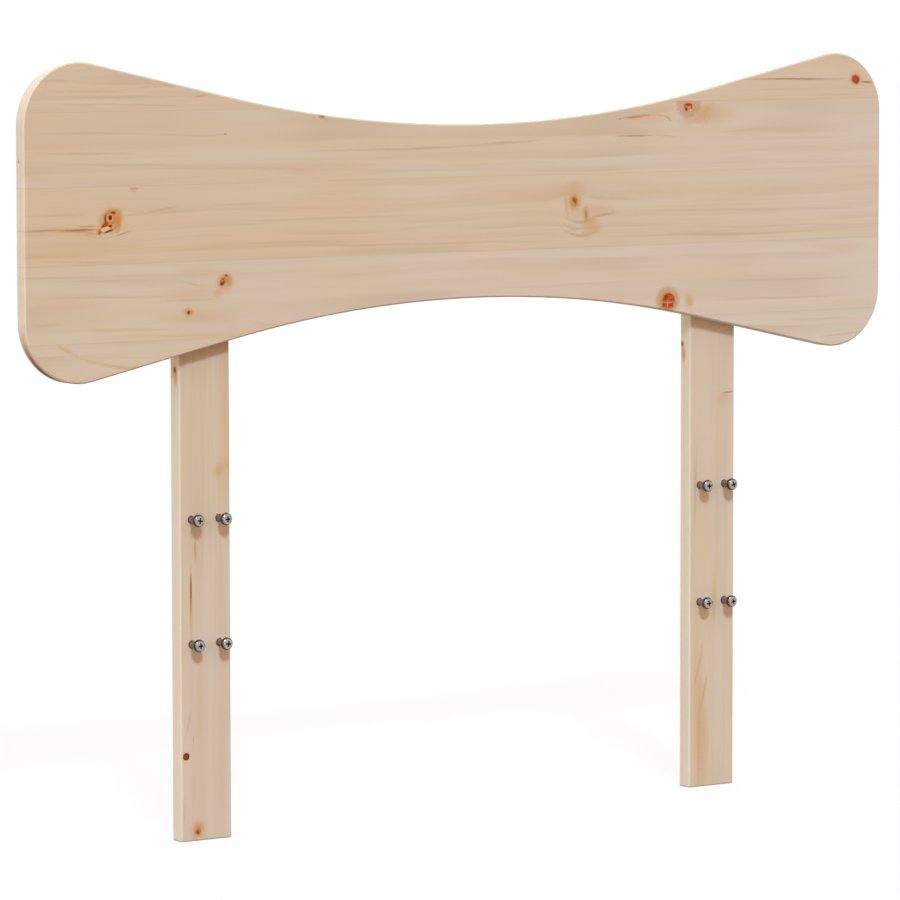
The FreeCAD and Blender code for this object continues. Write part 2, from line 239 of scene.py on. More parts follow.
def add_sun(name, travel, strength, spread, tint):
    """A sun whose light goes along travel, softened by its spread in degrees."""
    sun = bpy.data.lights.new(name, "SUN")
    sun.energy = strength
    sun.angle = math.radians(spread)
    sun.color = tint
    lamp = bpy.data.objects.new(name, sun)
    lamp.rotation_euler = Vector(travel).to_track_quat("-Z", "Y").to_euler()
    bpy.context.scene.collection.objects.link(lamp)


def seen_directly(tree):
    """1 for rays that come from the camera, or from it by way of metal or glass."""
    path = tree.node("ShaderNodeLightPath", None, None, "Is Camera Ray")
    seen = path
    for kind in ("Is Glossy Ray", "Is Transmission Ray"):
        seen = seen.math("MAXIMUM", Sock(tree, path.socket.node.outputs[kind]))
    return seen


add_sun("front_sun", travel=(0.42, 1.0, -0.9), strength=1.87, spread=9, tint=(0.64, 1.0, 1.27))
add_sun("left_sun", travel=(0.93, 0.25, -0.2), strength=2.0, spread=70, tint=(1.0, 1.0, 0.96))
add_sun("top_sun", travel=(0.1, 0.1, -0.98), strength=0.4, spread=70, tint=(0.95, 1.0, 1.04))
add_sun("back_sun", travel=(-0.45, -0.85, -0.35), strength=1.9, spread=40, tint=(0.8, 1.0, 1.2))

world = bpy.data.worlds.new("studio_white")
world.use_nodes = True
world.node_tree.nodes.clear()
room = Tree(world.node_tree)
lit = room.node("ShaderNodeBackground", None, {"Color": ROOM_TINT, "Strength": ROOM_STRENGTH})
shown = room.node("ShaderNodeBackground", None, {"Color": WHITE, "Strength": 1.0})
both = room.node("ShaderNodeMixShader", None, {0: seen_directly(room), 1: lit, 2: shown})
room.show(both)
bpy.context.scene.world = world
print("lamps:", [light.name for light in bpy.data.lights])

# %% Lay the floor
FLOOR_SIZE = 60
FLOOR_BOUNCE, FLOOR_PAINT = (0.33, 0.22, 0.15, 1), (0.8, 0.8, 0.8, 1)
GLOW_STRENGTH, GLOW_SHARE = 0.995, 0.88
bpy.ops.mesh.primitive_plane_add(size=FLOOR_SIZE, location=(0, 0, 0))
floor = bpy.context.object
floor.name = "studio_floor"
floor_finish = bpy.data.materials.new("floor_white")
floor_finish.use_nodes = True
floor_finish.node_tree.nodes.clear()
tree = Tree(floor_finish.node_tree)
warm = tree.node("ShaderNodeBsdfDiffuse", None, {"Color": FLOOR_BOUNCE})
white = tree.node("ShaderNodeBsdfDiffuse", None, {"Color": FLOOR_PAINT})
glow = tree.node("ShaderNodeEmission", None, {"Color": WHITE, "Strength": GLOW_STRENGTH})
white = tree.node("ShaderNodeMixShader", None, {0: GLOW_SHARE, 1: white, 2: glow})
tree.show(tree.node("ShaderNodeMixShader", None, {0: seen_directly(tree), 1: warm, 2: white}))
floor.data.materials.append(floor_finish)
floor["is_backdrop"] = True
print("floor laid")

# %% [markdown]
# ## Pine
#
# A pine board is a slice of a trunk. Its lines are the growth rings where the slice crosses them,
# and its knots are branches that it cut through. So the finish isn't a picture of lines: it works
# out how far a point of the board is from the trunk's pith, which runs along the board some way
# behind its face. Equal steps of that distance are rings. On the face they come out as long lines,
# wide apart over the pith and close together to each side, and on the ends as arcs, as on the real
# board. A slow noise bends the trunk, and near a knot the distance is squeezed, so that the lines
# flow round it. Knots, resin and stains are then laid on as soft-edged marks.

# %% Write down pine's colours
PALE = colour(214, 194, 177)
STRAW = colour(212, 181, 147)
LATE = colour(183, 153, 124)
EDGE = colour(209, 201, 190)
AMBER = colour(200, 134, 64)
GOLD = colour(202, 166, 110)
TAN = colour(203, 158, 114)
PEACH = colour(226, 152, 104)
CREAM = colour(226, 182, 116)
BROWN = colour(160, 114, 74)
RED = colour(188, 70, 28)
RUST = colour(138, 54, 18)
UMBER = colour(80, 34, 4)
print("front of the boards:", [round(c, 3) for c in STRAW[:3]])


# %% Find a place on a board
MM_IN_METRE = 1000
ANY_DEPTH = 1e6


class Grain:
    """The place on a board, in millimetres: along its grain, across its face and into its depth."""

    def __init__(self, tree, runs_upright):
        place = tree.node("ShaderNodeTexCoord", None, None, "Object")
        x, y, z = (part * MM_IN_METRE for part in tree.split(place))
        self.tree = tree
        self.along, self.across, self.depth = (z, x, y) if runs_upright else (x, z, y)
        self.spot = tree.vector(self.along, self.across, self.depth)

    def noise(self, along, across, detail=2.0, roughness=0.5, seed=0.0):
        """Noise in cells of so many millimetres along and across the grain."""
        vector = self.tree.vector(self.along / along, self.across / across, self.depth / across)
        return self.tree.noise(vector, 1, detail, roughness, seed)


def ellipse(grain, place, size, tilt=0.0, bend=0.0):
    """How far out a point is in an ellipse on the board's face: 0 at its middle, 1 on its rim.
    With a third number for its depth, the ellipse ends inside the board."""
    middle = (*place, 0)[:3]
    reach = (*size, ANY_DEPTH)[:3]
    values = {"Vector": grain.spot, "Location": middle, "Scale": reach}
    values["Rotation"] = (0, 0, math.radians(tilt))
    inside = grain.tree.node("ShaderNodeMapping", {"vector_type": "TEXTURE"}, values)
    if bend:
        u, v, w = grain.tree.split(inside)
        inside = grain.tree.vector(u, v - u * u * bend, w)
    return grain.tree.node("ShaderNodeVectorMath", {"operation": "LENGTH"}, {0: inside}, "Value")


# %% [markdown]
# The finish itself is one function, used for every board with its own pith, ring width and marks.
# A board's tone is how pale it is, from straw to nearly white, and how much paler it gets in a
# metre along it. Each mark is a row: where it is, its half lengths, its colour and its strength.
# Most marks are soft all through, level and straight. The row of any other one goes on with how
# much of it is soft edge, its tilt and its bend. The marks lie along the fibres, so they sway with
# them. Longer lists make a longer shader, which has a limit, so each board has only its own marks.
# The finish makes the boards' narrow edges paler than their faces, so it also looks at which
# way the surface faces.

# %% Draw the growth rings
# Noise comes in cells of so many millimetres along the grain and across it. Its BY value says how
# far it pushes the rings: WANDER and RIPPLE in millimetres, UNEVEN in rings.
WANDER, WANDER_BY = (420, 80), 30
RIPPLE, RIPPLE_BY = (70, 16), 3.6
UNEVEN, UNEVEN_BY = 26, 2.2
YEAR = 240
SUMMER_STARTS, SUMMER_FULL, SUMMER_ENDS = 0.1, 0.86, 0.9
FAINTEST_YEAR, YEAR_RAMP = 0.12, (0.4, 0.72)


def rings_of(grain, across, pith, ring, seed):
    """The growth rings at a place on a board: how dark the summer wood is there, 0 to 1."""
    tree = grain.tree
    wander = grain.noise(*WANDER, seed=seed) - 0.5
    ripple = grain.noise(*RIPPLE, seed=seed + 5) - 0.5
    aside = across - pith[0] + wander * WANDER_BY + ripple * RIPPLE_BY
    inward = grain.depth - pith[1]
    away = (aside * aside + inward * inward).root()
    uneven = tree.noise(tree.vector(away / UNEVEN, 0, 0), 1, detail=1, seed=seed + 7) - 0.5
    rings = away / ring + uneven * UNEVEN_BY
    phase = rings.fraction()
    late = phase.between(SUMMER_STARTS, SUMMER_FULL) * (1 - phase.between(SUMMER_ENDS, 1.0))
    year = tree.vector(rings.math("FLOOR"), grain.along / YEAR, 0)
    darkness = tree.noise(year, 1, detail=1, seed=seed + 9).between(*YEAR_RAMP)
    return late * (FAINTEST_YEAR + darkness)


print("rings wander", WANDER_BY, "mm over", WANDER[0], "mm of trunk")

# %% Build the pine finish
# BLUSH and BLOOM change the paleness, SWAY shifts the fibres by millimetres, and RAGGED frays the
# rim of a mark by a share of its size. A SHARE is how strongly a layer is laid on, 0 to 1. A RAMP
# is from where to where it comes or goes: FACE by the slope of the surface, GLUE in millimetres.
FINE_LINES_IN_A_RING = 3.3
FIBRE, COARSE = (26, 0.6), 0.6
BLUSH, BLUSH_BY = (380, 15), 1.1
BLOOM, BLOOM_BY = (140, 40), 0.7
SWAY, SWAY_BY = (70, 30), 4
RAGGED, RAGGED_BY = (3.4, 2.4), 0.45
LATE_SHARE, FINE_SHARE, FIBRE_SHARE, EDGE_SHARE, GLUE_SHARE = 0.32, 0.13, 0.09, 0.72, 0.16
SQUEEZE_SHARE, SQUEEZE_RAMP = 0.75, (0.15, 1.0)
USUAL_SHAPE = (1, 0, 0)
FIBRE_RAMP, FACE_RAMP, GLUE_RAMP = (0.5, 0.8), (0.35, 0.95), (0.1, 0.6)
PLANED_ROUGHNESS, LATE_ROUGHNESS, FIBRE_ROUGHNESS, PLANED_GLOSS = 0.52, 0.06, 0.08, 0.2
BUMP_STRENGTH, BUMP_HEIGHT, LATE_HEIGHT = 0.1, 0.4 * MM, 0.6


def pine(name, pith, ring, seed, tone, upright=False, knots=(), marks=(), joints=()):
    """A board's finish. pith is across and depth, ring the rings' width, all in millimetres."""
    material, tree, shader = new_material(name)
    grain = Grain(tree, upright)
    across = grain.across
    for place, reach in knots:
        near = ellipse(grain, place, reach).between(*SQUEEZE_RAMP, SQUEEZE_SHARE, 0.0)
        across = across - (grain.across - place[1]) * near
    late = rings_of(grain, across, pith, ring, seed)
    fine = rings_of(grain, across, pith, ring / FINE_LINES_IN_A_RING, seed + 40)
    fibre = grain.noise(*FIBRE, detail=3, roughness=COARSE, seed=seed + 4)
    blush = (grain.noise(*BLUSH, seed=seed + 2) - 0.5) * BLUSH_BY
    bloom = (grain.noise(*BLOOM, seed=seed + 3) - 0.5) * BLOOM_BY

    paleness, paler_per_metre = tone
    pale = paleness + grain.along * (paler_per_metre / MM_IN_METRE) + blush + bloom
    base = tree.mix(pale, STRAW, PALE)
    base = tree.mix(late * LATE_SHARE, base, LATE)
    base = tree.mix(fine * FINE_SHARE, base, LATE)
    base = tree.mix(fibre.between(*FIBRE_RAMP) * FIBRE_SHARE, base, LATE)
    facing = tree.node("ShaderNodeNewGeometry", None, None, "Normal")
    flat = tree.split(facing)[Y].math("ABSOLUTE").between(*FACE_RAMP)
    base = tree.mix((1 - flat) * EDGE_SHARE, base, EDGE)

    sway = (grain.noise(*SWAY, detail=1, seed=seed + 8) - 0.5) * SWAY_BY
    grain.spot = tree.vector(grain.along, grain.across + sway, grain.depth)
    ragged = (grain.noise(*RAGGED, roughness=COARSE, seed=seed + 6) - 0.5) * RAGGED_BY
    for place, size, paint, strength, *shape in marks:
        soft, tilt, bend = (*shape, *USUAL_SHAPE[len(shape):])
        away = ellipse(grain, place, size, tilt, bend) + ragged
        base = tree.mix(away.between(1 - soft, 1.0, strength, 0.0), base, paint)
    for height in joints:
        line = (grain.across - height).math("ABSOLUTE").between(*GLUE_RAMP, GLUE_SHARE, 0.0)
        base = tree.mix(line, base, BROWN)
    feed(tree, base, shader, "Base Color")

    rough = PLANED_ROUGHNESS + late * LATE_ROUGHNESS + fibre * FIBRE_ROUGHNESS
    feed(tree, rough, shader, "Roughness")
    height = fibre + late * LATE_HEIGHT
    values = {"Strength": BUMP_STRENGTH, "Distance": BUMP_HEIGHT, "Height": height}
    feed(tree, tree.node("ShaderNodeBump", None, values), shader, "Normal")
    shader.inputs["Specular IOR Level"].default_value = PLANED_GLOSS
    return material


def finish(node, material):
    """Give one of the model's own solids its finish."""
    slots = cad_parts[node].data.materials
    slots.clear()
    slots.append(material)


print("pine finish ready")

# %% [markdown]
# ## The panel's staves
#
# The staves were cut from different boards, so the lines stop and the tint changes at each glue
# line. Every knot below sits where the real one does. A knot squeezes the lines round it. It has a
# soft glow of resin, then the branch itself, and in it the dark checks where it dried, each a
# mark of its own, laid on from the broad and pale to the small and dark. The lower left corner's
# narrow edge, which faces down and to the left, gets a painted shade, and its marks have a depth,
# which keeps them off both faces. The large faint marks at the head of the longer lists are where
# sapwood or resin changes a whole patch of the board.

# %% Mark the middle stave
twin_knot = [
    ((-440, 639), (19, 17), TAN, 0.85, 0.75),
    ((-441, 638), (14, 14.5), AMBER, 0.62, 0.7),
    ((-443, 638), (11, 10), RUST, 0.5, 1, 30),
    ((-432, 638), (6.1, 14.3), AMBER, 0.88, 0.8, -8),
    ((-436, 648), (9.9, 3.9), AMBER, 0.75, 0.8),
    ((-452.5, 641), (3.7, 5.5), GOLD, 0.59, 0.7),
    ((-442.5, 641.5), (7.7, 8.1), AMBER, 0.97, 0.35),
    ((-437.5, 646.3), (4.2, 1.9), RUST, 0.94, 0.6, -8),
    ((-446.8, 640.5), (1.9, 7.2), RUST, 0.94, 0.7),
    ((-447.3, 635), (7.3, 3), RED, 0.99, 0.55, 31),
    ((-448.2, 634.4), (4.8, 1.7), RUST, 0.88, 0.6, 31),
    ((-441.6, 641.3), (4.8, 4.8), PEACH, 0.79, 0.4),
    ((-441.2, 641.6), (2.8, 3.3), UMBER, 1, 0.5),
    ((-441.3, 633.4), (3.5, 1.9), UMBER, 0.94, 0.6, 8),
    ((-437.4, 633.3), (2.2, 2.9), PEACH, 0.97, 0.7),
    ((-452.5, 628.8), (5.9, 3.3), RED, 0.84, 0.6, 27),
    ((-453.8, 626.2), (2.4, 1.2), RUST, 0.91, 0.7, 60),
    ((-446.6, 630.6), (6.8, 3), CREAM, 1, 0.35, 10),
    ((-443, 628.7), (9, 1.4), UMBER, 0.94, 0.6, 16),
    ((-426, 626), (14.3, 1.1), BROWN, 0.59, 0.8, 14),
    ((-484, 630.2), (38, 2.8), AMBER, 0.6, 0.8, -1.2),
    ((-476, 630.6), (28, 1.6), BROWN, 0.95, 0.8),
    ((-467, 633.9), (19, 1.5), AMBER, 0.65, 0.8),
    ((-464, 627), (19, 2.4), AMBER, 0.5, 0.9, -8),
    ((-520, 631.2), (36, 1.7), BROWN, 0.6, 1, 0.8),
    ((-466, 624.6), (18, 1.6), LATE, 0.42, 1, -14),
]
waist_knot = [
    ((127, 650), (18, 21), TAN, 0.55, 0.9),
    ((117, 640), (3.3, 18.7), TAN, 0.65, 0.9, 8),
    ((127.5, 643.5), (10.6, 11.5), AMBER, 0.88, 0.85),
    ((126, 636), (6.6, 4.4), GOLD, 0.48, 0.8),
    ((127.6, 645.6), (4.6, 5.2), AMBER, 0.84, 0.7),
    ((128.2, 644.8), (6.2, 3.6), RUST, 0.82, 0.8, -60),
    ((142.6, 630), (6, 15), AMBER, 0.5, 1, 3),
    ((149, 623), (13, 5.5), AMBER, 0.42, 1, 8),
    ((142.8, 630), (3, 10), BROWN, 0.7, 0.9, 3),
    ((136, 621.6), (25, 2.4), BROWN, 0.5, 1, 2, 4.2),
    ((126, 614.5), (20, 2.2), BROWN, 0.3, 1, -8, 4.4),
    ((134, 606.8), (32, 2.6), BROWN, 0.38, 1, -4, 5.5),
    ((147, 609.5), (17.6, 2.4), GOLD, 0.48, 0.8, 6),
    ((150, 616), (20, 13), TAN, 0.75),
    ((166, 629), (28, 2.6), BROWN, 0.4, 1, 6),
]
middle_marks = [
    ((170, 657), (62, 12), PALE, 0.5),
    ((150, 634), (44, 12), TAN, 0.4),
    ((-480, 612), (120, 15), GOLD, 0.3),
    ((-310, 657), (150, 16), PALE, 0.5),
    ((-80, 658), (120, 14), PALE, 0.5),
    ((352, 630), (200, 2.4), LATE, 0.36, 1, -0.6),
    ((372, 611.5), (180, 2.3), LATE, 0.34, 1, -0.8),
    ((-180, 634.5), (170, 1.9), LATE, 0.39, 1, -0.2),
    ((-225, 611), (90, 1.9), LATE, 0.36, 1, -0.6),
    ((-150, 606), (150, 1.9), LATE, 0.41, 1, -1),
    ((-20, 604), (160, 2.4), LATE, 0.3, 1, -0.6),
    ((330, 604), (210, 2.1), LATE, 0.33, 1, -0.4),
    ((-500, 645.5), (46, 1.8), LATE, 0.41),
    ((-415, 643.6), (18, 1.8), LATE, 0.38),
    ((-380, 648), (34, 1.9), LATE, 0.39, 1, 8),
    ((-290, 651.5), (62, 1.9), LATE, 0.33, 1, 1.2),
    ((-495, 604), (60, 2), GOLD, 0.3, 0.85, -1),
    ((-480, 598.5), (80, 1.8), GOLD, 0.35, 0.85, -1),
    ((-413.5, 670.4), (7.5, 1.5), BROWN, 0.5, 0.6),
    ((-413.5, 668.4), (6, 3.2), TAN, 0.7, 0.8),
    *twin_knot,
    *waist_knot,
]
print(len(middle_marks), "marks on the middle stave")

# %% Mark the lower stave
foot_knots = [
    ((-307, 573), (15.4, 14.3), TAN, 0.91, 0.85, 40),
    ((-302.5, 574), (5.5, 8.8), AMBER, 0.75, 0.9),
    ((-316, 562), (8, 7), TAN, 0.6, 0.9),
    ((-308.6, 575), (8.6, 5.6), AMBER, 0.9, 0.8, 52),
    ((-309.8, 573.4), (6.6, 4.6), RED, 0.7, 0.8, 52),
    ((-310.4, 572.2), (4.6, 3.4), RUST, 0.9, 0.8, 40),
    ((-310.9, 571.2), (2.6, 1.7), UMBER, 0.6, 0.9, 12),
    ((-309.4, 576.6), (1.7, 1.1), UMBER, 0.84, 0.7),
    ((-310.2, 574.6), (1.7, 1.3), PEACH, 0.7, 0.8),
    ((-305.3, 580), (3, 1.8), RUST, 0.94, 0.7, -14),
    ((-350, 544), (11, 9.9), TAN, 0.54, 0.9),
    ((-347.5, 544.2), (5.4, 3.6), AMBER, 0.6, 0.9),
    ((-353.4, 545.2), (3.4, 3.8), AMBER, 0.5, 0.9),
    ((-350.4, 543.6), (2.9, 3.5), UMBER, 0.94, 0.8, 10),
]
ringed_knot = [
    ((279, 534), (8.8, 13.2), TAN, 0.7, 0.9),
    ((281, 531), (6.6, 6.1), GOLD, 0.48, 0.9),
    ((250.5, 535.5), (17.8, 16), BROWN, 0.42, 0.3),
    ((250.5, 534.5), (15.6, 13.9), TAN, 0.97, 0.3),
    ((250.5, 534), (12.7, 11.6), AMBER, 0.91, 0.5),
    ((251.5, 534), (10.3, 9.7), RED, 0.85, 0.4),
    ((248, 538), (4.6, 4), RUST, 0.91, 0.6, 20),
    ((254, 540.6), (5.3, 1.3), RUST, 0.88, 0.7, -8),
    ((258.6, 536.5), (1.3, 4), RUST, 0.88, 0.7),
    ((255, 535.2), (3.1, 1.1), RUST, 0.84, 0.7),
    ((245, 529.6), (4, 2.6), RUST, 0.88, 0.7),
    ((253.6, 530), (3.1, 2.4), RUST, 0.91, 0.7),
    ((257, 529), (1.8, 2.6), RUST, 0.7, 0.8),
    ((251, 532.7), (9.5, 0.9), PEACH, 0.88, 0.7),
    ((250.4, 531.5), (0.9, 5.1), PEACH, 0.75, 0.7),
]
# Painted shade on the lower left corner's narrow edge, which faces down and to the left.
painted_corner_shade = [
    ((-521, 500, -8), (52, 18, 6.9), AMBER, 0.5, 0.8, -46),
    ((-516, 493, -8), (38, 14, 6.8), RUST, 0.75, 0.7, -41),
    ((-511, 487.5, -8), (25, 10, 6.7), UMBER, 0.7, 0.8, -36),
]
lower_marks = [
    ((-335, 538), (70, 12), TAN, 0.45),
    ((-345, 562), (60, 14), TAN, 0.3),
    ((-340, 584), (44, 9), TAN, 0.35),
    ((-490, 560), (70, 16), TAN, 0.25),
    ((90, 584), (100, 10), PALE, 0.5),
    ((80, 562), (100, 12), PALE, 0.25),
    ((390, 534), (60, 12), PALE, 0.3),
    ((480, 585), (50, 9), TAN, 0.25),
    ((-505, 584), (70, 2.1), LATE, 0.39, 1, -2),
    ((-455, 579), (80, 1.8), LATE, 0.28, 1, -2),
    ((-430, 562), (130, 2.3), LATE, 0.36, 1, -1.6),
    ((-355, 556), (60, 1.9), LATE, 0.33),
    ((-515, 537), (28, 2.4), GOLD, 0.5, 0.9),
    ((-430, 529), (110, 3.2), GOLD, 0.42, 0.9, -1.4),
    ((-370, 521), (110, 2.8), GOLD, 0.36, 0.9, -1.4),
    ((-255, 528), (40, 2.4), GOLD, 0.25, 0.9, -7),
    ((-345, 572), (20, 1.6), LATE, 0.33, 1, -12),
    ((420, 552), (130, 2.1), LATE, 0.33, 1, -0.5),
    ((410, 532.5), (120, 2.1), LATE, 0.41, 1, -0.3),
    ((120, 556), (160, 2.1), LATE, 0.22, 1, 0.2),
    *foot_knots,
    *ringed_knot,
    # The lower left corner's painted shade.
    *painted_corner_shade,
]
print(len(lower_marks), "marks on the lower stave")

# %% Mark the upper stave
cut_knot = [
    ((286, 732.6), (30, 18.7), TAN, 0.59, 0.85),
    ((301, 736.6), (20, 9), AMBER, 0.32, 1, 38),
    ((288, 721.6), (15.4, 3.3), PALE, 0.75, 0.9),
    ((277.5, 743.6), (18.6, 15.5), BROWN, 0.32, 0.3),
    ((277.5, 743.6), (16, 13.2), TAN, 0.75, 0.5),
    ((277.8, 743.6), (11.6, 10.2), PEACH, 0.6, 0.6),
    ((277.3, 742), (7.6, 6.4), RED, 0.5, 0.7),
    ((277, 743.6), (6.4, 1.8), RUST, 0.94, 0.6),
    ((274.6, 738.8), (2.9, 2.6), RUST, 0.97, 0.6),
    ((281.6, 741.4), (1.4, 3.5), RUST, 0.88, 0.7),
    ((272.8, 741.6), (1.2, 2.4), RUST, 0.79, 0.7),
    ((277.6, 740.2), (1.8, 1.3), CREAM, 0.84, 0.8),
    ((280.2, 737.4), (2, 1.1), CREAM, 0.84, 0.8),
    ((305, 729.6), (15, 1.9), LATE, 0.3, 1, 50),
]
upper_marks = [
    ((-210, 686), (120, 9), TAN, 0.4),
    ((225, 731), (46, 9), PEACH, 0.25),
    ((312, 733), (40, 15), TAN, 0.45),
    ((400, 735), (80, 12), PALE, 0.4),
    ((120, 704), (110, 12), PALE, 0.3),
    ((240, 739), (30, 6.5), GOLD, 0.5, 0.9),
    ((209, 733.2), (29, 2.1), AMBER, 0.75, 0.8, 3),
    ((240, 733.4), (17, 1.6), AMBER, 0.45, 1, -7),
    ((202, 732.4), (11, 1.1), RUST, 0.3, 0.7),
    ((187, 731.2), (3.6, 0.9), BROWN, 0.8, 0.8, 6),
    ((251, 730), (7.5, 1.6), BROWN, 0.55, 0.9, -38, -0.5),
    ((208, 712.2), (36, 1.7), BROWN, 0.75, 1, 0, -0.5),
    ((250, 710.4), (22, 1.8), LATE, 0.39, 1, -6),
    ((-306, 723.6), (2.6, 1.3), BROWN, 0.75, 0.8),
    ((-312, 723.2), (6, 0.8), LATE, 0.5, 0.8),
    ((-196, 738.6), (6, 3), PEACH, 0.35, 0.9),
    ((-184.5, 736), (6, 3.4), GOLD, 0.35, 0.9),
    ((-189.8, 738.6), (5.8, 2.6), BROWN, 0.75, 0.7, -4),
    ((-450, 726), (100, 1.9), LATE, 0.36, 1, -0.4),
    ((-350, 723), (70, 1.6), LATE, 0.33, 1, -1.6),
    ((-470, 706.5), (80, 2.4), LATE, 0.39, 1, -0.6),
    ((-430, 694.5), (120, 2.4), LATE, 0.41, 1, -1.8),
    ((-300, 688), (130, 2.1), LATE, 0.28, 1, -1.5),
    ((-90, 704), (150, 2.4), LATE, 0.6, 0.9, 0.4, 0.4),
    ((-150, 688), (40, 4), AMBER, 0.14, 0.9),
    ((40, 708), (60, 2.2), LATE, 0.6, 0.9, 3),
    ((362, 716), (60, 2.3), LATE, 0.25, 1, 3),
    ((431, 705.5), (110, 2.3), LATE, 0.22, 1, 0.6),
    ((-540, 699.6, -6.4), (30, 3.4, 2.4), AMBER, 0.8, 0.7),
    ((-540, 699.8, -6.8), (30, 1.5, 1.2), BROWN, 0.8, 0.7),
    *cut_knot,
]
print(len(upper_marks), "marks on the upper stave")

# %% Mark the four end pieces
top_left_marks = [
    ((-500, 779), (34, 1.6), LATE, 0.42),
    ((-465, 768.5), (70, 2.3), LATE, 0.34, 1, -0.4, 0.9),
    ((-440, 762), (95, 2.6), LATE, 0.47, 1, -0.6),
    ((-470, 756), (66, 2.1), LATE, 0.34, 1, -1.2),
    ((-400, 754), (70, 1.9), LATE, 0.33, 1, -0.8),
    ((-336, 762.5), (13, 1.8), AMBER, 0.5, 0.8, 6),
    ((-374, 773), (14, 1.8), LATE, 0.47, 1, -12),
    ((-400, 771), (30, 2.4), LATE, 0.28, 1, 4),
]
top_right_marks = [
    ((505.6, 768.6), (12.1, 9.5), PEACH, 0.91, 0.6),
    ((505.6, 768.4), (7.2, 6), RUST, 0.92, 0.5, -14),
    ((504.8, 769.2), (5.1, 3.7), RED, 0.97, 0.8),
    ((506.8, 763.8), (2.6, 1.5), UMBER, 0.75, 0.7),
    ((424, 769.8), (90, 1.7), RUST, 0.55, 0.9, -0.7),
    ((521, 765.2), (14, 1.8), RUST, 0.6, 0.8, -2),
    ((420, 759), (90, 1.9), LATE, 0.25),
    ((470, 752), (70, 1.9), LATE, 0.22),
]
bottom_left_marks = [
    ((-412, 491), (97, 2.9), GOLD, 0.75, 0.75, 0, 8.8),
    ((-490.5, 510), (16, 4.2), GOLD, 0.75, 1, -27),
    ((-500, 514.5), (6, 2.6), BROWN, 0.25, 1, -34),
    # The lower left corner's painted shade.
    *painted_corner_shade,
]
bottom_right_marks = [
    ((480, 500), (70, 14), PALE, 0.3),
    ((455, 507), (80, 2.3), LATE, 0.28, 1, -0.6),
    ((490, 489), (50, 2), GOLD, 0.4, 0.9, 2),
]
print("end pieces marked")

# %% Finish the staves
middle_bends = [((-443, 637), (46, 26)), ((128, 644), (46, 27)), ((141, 626), (40, 18))]
lower_bends = [((-309, 573), (34, 19)), ((-350, 543), (24, 12)), ((250, 535), (52, 28))]
upper_bends = [((277, 744), (60, 30)), ((-190, 739), (34, 10)), ((-306, 724), (20, 7))]
corner_bends = [((506, 768), (36, 15))]
# Each board's seed, pith across and deep, ring width, paleness and its change in a metre, then
# the knots that bend its lines, and its marks.
staves = {
    "bottom_left_stave": (11, (455, 60), 9, (0.7, 0.3), (), bottom_left_marks),
    "bottom_right_stave": (17, (440, 70), 10.5, (0.9, 0.3), (), bottom_right_marks),
    "lower_stave": (23, (545, 74), 11, (0.74, 0.34), lower_bends, lower_marks),
    "middle_stave": (31, (690, 58), 9.5, (0.42, 0.4), middle_bends, middle_marks),
    "upper_stave": (43, (742, 66), 10.5, (0.57, 0.3), upper_bends, upper_marks),
    "top_left_stave": (51, (818, 52), 8, (0.48, 0.3), (), top_left_marks),
    "top_right_stave": (59, (808, 70), 10, (0.35, 0.3), corner_bends, top_right_marks),
}
long_staves = ("lower_stave", "middle_stave", "upper_stave")
glue_lines = sorted({height for stave in long_staves for height in span(stave, Z)})
print("glue lines at", glue_lines, "mm")
for stave, (seed, pith, ring, tone, bends, marks) in staves.items():
    made = pine(f"pine_{stave}", pith, ring, seed, tone, False, bends, marks, glue_lines)
    finish(stave, made)
    print(stave, len(made.node_tree.nodes), "nodes")

# %% [markdown]
# ## The legs
#
# The legs are the same pine with its grain upright. Their marks are fewer: small knots near the
# foot and on the narrow sides, a red streak between the bolts on the left leg, bands of golden
# summer wood that sweep down the right one, and a painted contact shadow along each foot. A mark's
# place across counts from the leg's middle, and a mark on a narrow side has a depth too, so that
# it stays off the leg's front.

# %% Mark and finish the legs
def on_leg(leg, rows):
    """Rows whose place across counts from the leg's middle, moved to where the leg stands."""
    middle = sum(span(leg, X)) / 2
    return [((along, middle + across, *depth), *rest) for (along, across, *depth), *rest in rows]


left_marks = [
    ((45, 28), (90, 10), PALE, 0.9),
    ((270, 27), (70, 8), PALE, 0.45),
    ((45, -24), (50, 8), PALE, 0.3),
    ((368, 18), (40, 10), GOLD, 0.3),
    ((145, -8), (80, 20), TAN, 0.2),
    ((430, 26), (130, 16), TAN, 0.34),
    ((381, 17), (14, 9), GOLD, 0.85, 1, 30),
    ((385, 27), (15.4, 5.5), PEACH, 0.54, 0.95),
    ((400, 30), (70, 4), AMBER, 0.22, 0.95),
    ((240, -16.8), (62, 2.6), AMBER, 0.5, 0.9),
    ((255, -16.6), (28, 1.2), RED, 0.6, 0.6, 0.4),
    ((261, -16.4), (17.6, 0.9), RUST, 0.91, 0.6, 0.4),
    ((300, -12), (16.5, 1.7), AMBER, 0.75, 0.8, -1),
    ((88, -24.5), (5.8, 5.4), AMBER, 0.84, 0.6),
    ((88, -24.5), (4.4, 4.2), UMBER, 1, 0.3),
    ((88, -24.7), (2.8, 2.7), RED, 0.9, 0.5),
    ((88, -24), (1.4, 1.4), UMBER, 0.95, 0.6),
    # A painted contact shadow along the foot.
    ((0, 0), (1.8, 90), BROWN, 0.7, 0.7),
    ((12, -10), (14, 12), AMBER, 0.85),
    ((4, -15), (4, 5), GOLD, 0.55, 0.9),
    ((9, -10.8), (4.6, 5.5), RED, 0.88, 0.8),
    ((8.6, -10.4), (2.6, 2.9), RUST, 0.65, 0.8),
    ((105, -15.6), (5, 0.7), BROWN, 0.5, 0.8, 14),
    ((122, -21), (22, 2.3), LATE, 0.33, 1, 14, 0.3),
    ((30, -27), (26, 2.8), LATE, 0.33, 1, 3),
    ((477, -30, 7), (15, 33, 5.4), AMBER, 0.84, 0.9),
    ((484, -30, 8.4), (4.4, 33, 3.4), RUST, 0.94, 0.6),
]
